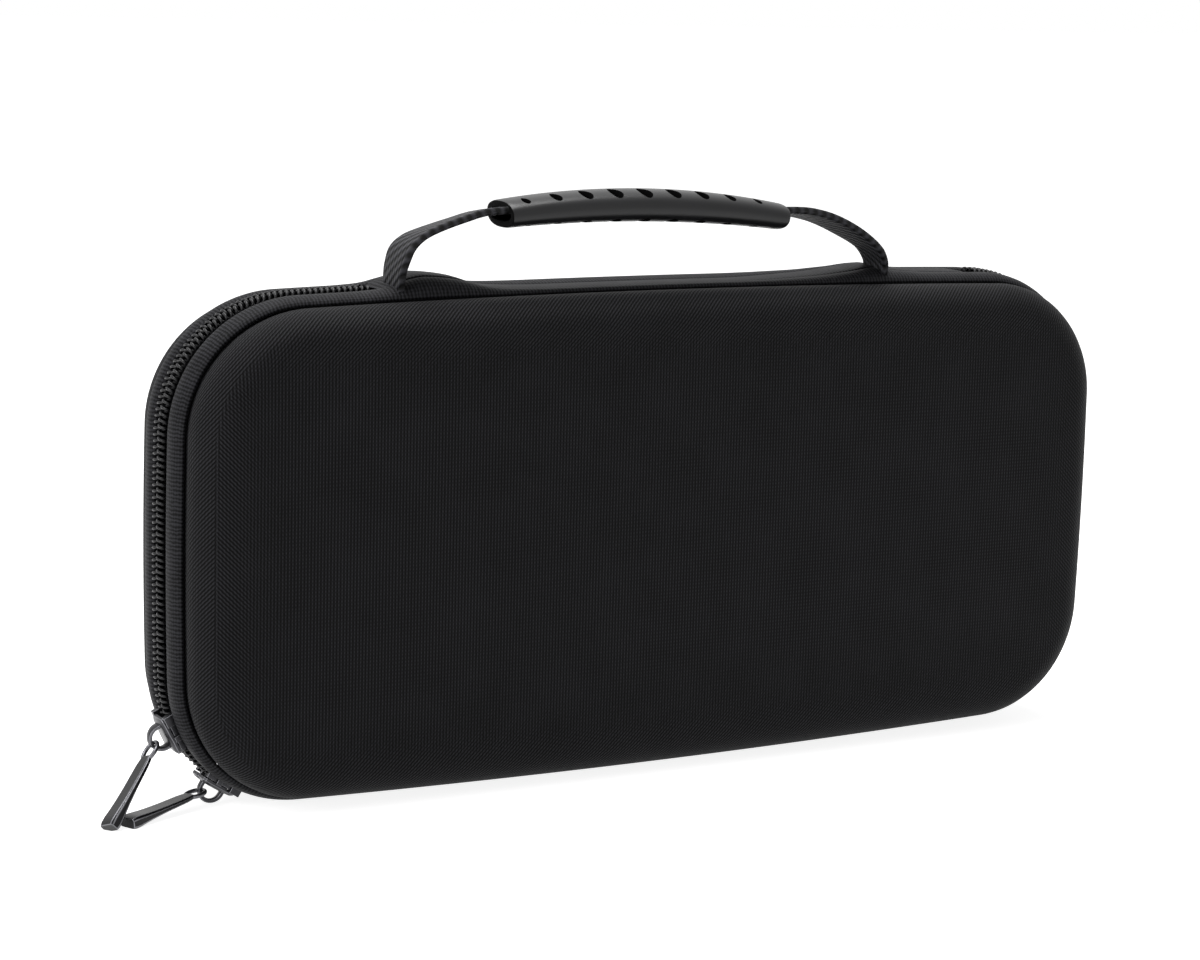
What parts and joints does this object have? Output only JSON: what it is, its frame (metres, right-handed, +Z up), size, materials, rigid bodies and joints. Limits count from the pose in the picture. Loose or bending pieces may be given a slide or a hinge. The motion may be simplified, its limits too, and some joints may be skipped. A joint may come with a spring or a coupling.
{
  "type": "console carrying case",
  "caption": "Hard-shelled zip case for a handheld game console, rounded rectangular, in ribbed dark cloth, with rim bands, a coil zip with pull tabs and an arched handle with a vented sleeve.",
  "frame": {"origin": "under the middle of the closed case, in the plane of the zip, on the surface that the case stands on", "axes": "+X along the case to the right as seen from the front, +Y from the front (lid) to the back, +Z up"},
  "size_m": [0.2808, 0.0448, 0.147],
  "materials": {
    "shell_cloth": "ribbed matte weave",
    "band_cloth": "cross-ribbed weave",
    "spine_cloth": "cross-ribbed weave",
    "zip_tape": "fine twill",
    "zip_coil": "satin nylon coil",
    "lining": "short brushed nap",
    "webbing": "plain webbing",
    "grip": "fine matte",
    "slider": "satin black",
    "pull": "satin black",
    "tray": "short brushed nap over moulded foam",
    "panel": "short brushed nap",
    "card_pockets": "smooth cloth",
    "mesh": "open knit mesh"
  },
  "bodies": {
    "back_half": {"back_shell": "shell_cloth", "back_lining": "lining", "back_rim_band": "band_cloth", "zip_tape_back": "zip_tape", "zip_coil_back": "zip_coil", "console_tray": "tray", "spine_cloth": "spine_cloth"},
    "front_half": {"front_shell": "shell_cloth", "front_lining": "lining", "front_rim_band": "band_cloth", "zip_tape_front": "zip_tape", "zip_coil_front": "zip_coil", "card_panel": "panel", "card_pocket_row_1": "card_pockets", "card_pocket_row_2": "card_pockets", "card_pocket_row_3": "card_pockets", "panel_hinge_tape": "panel", "mesh_pocket": "mesh", "mesh_pocket_edging": "band_cloth", "handle_strap": "webbing", "handle_grip": "grip"},
    "upper_slider_body": {"upper_slider": "slider"},
    "lower_slider_body": {"lower_slider": "slider"},
    "upper_pull": {"upper_pull_tab": "pull"},
    "lower_pull": {"lower_pull_tab": "pull"}
  },
  "joints": [
    {"name": "lid_opens", "type": "hinge", "parent": "back_half", "child": "front_half", "pos_m": [0, 0, 0.12655], "axis": [-1, 0, 0], "range_deg": [0, 90], "deforming": ["spine_cloth", "zip_tape_front", "zip_coil_front"]},
    {"name": "upper_slider_runs", "type": "hinge", "parent": "back_half", "child": "upper_slider_body", "pos_m": [-0.09847, 0, 0.03415], "axis": [0, 1, 0], "range_deg": [0, 20]},
    {"name": "lower_slider_runs", "type": "hinge", "parent": "back_half", "child": "lower_slider_body", "pos_m": [-0.09847, 0, 0.03415], "axis": [0, -1, 0], "range_deg": [0, 20]},
    {"name": "upper_pull_swings", "type": "hinge", "parent": "upper_slider_body", "child": "upper_pull", "pos_m": [-0.13073, 0, 0.01842], "axis": [0, 1, 0], "range_deg": [0, 85]},
    {"name": "lower_pull_swings", "type": "hinge", "parent": "lower_slider_body", "child": "lower_pull", "pos_m": [-0.11802, 0, 0.00405], "axis": [0, -1, 0], "range_deg": [0, 100]}
  ]
}
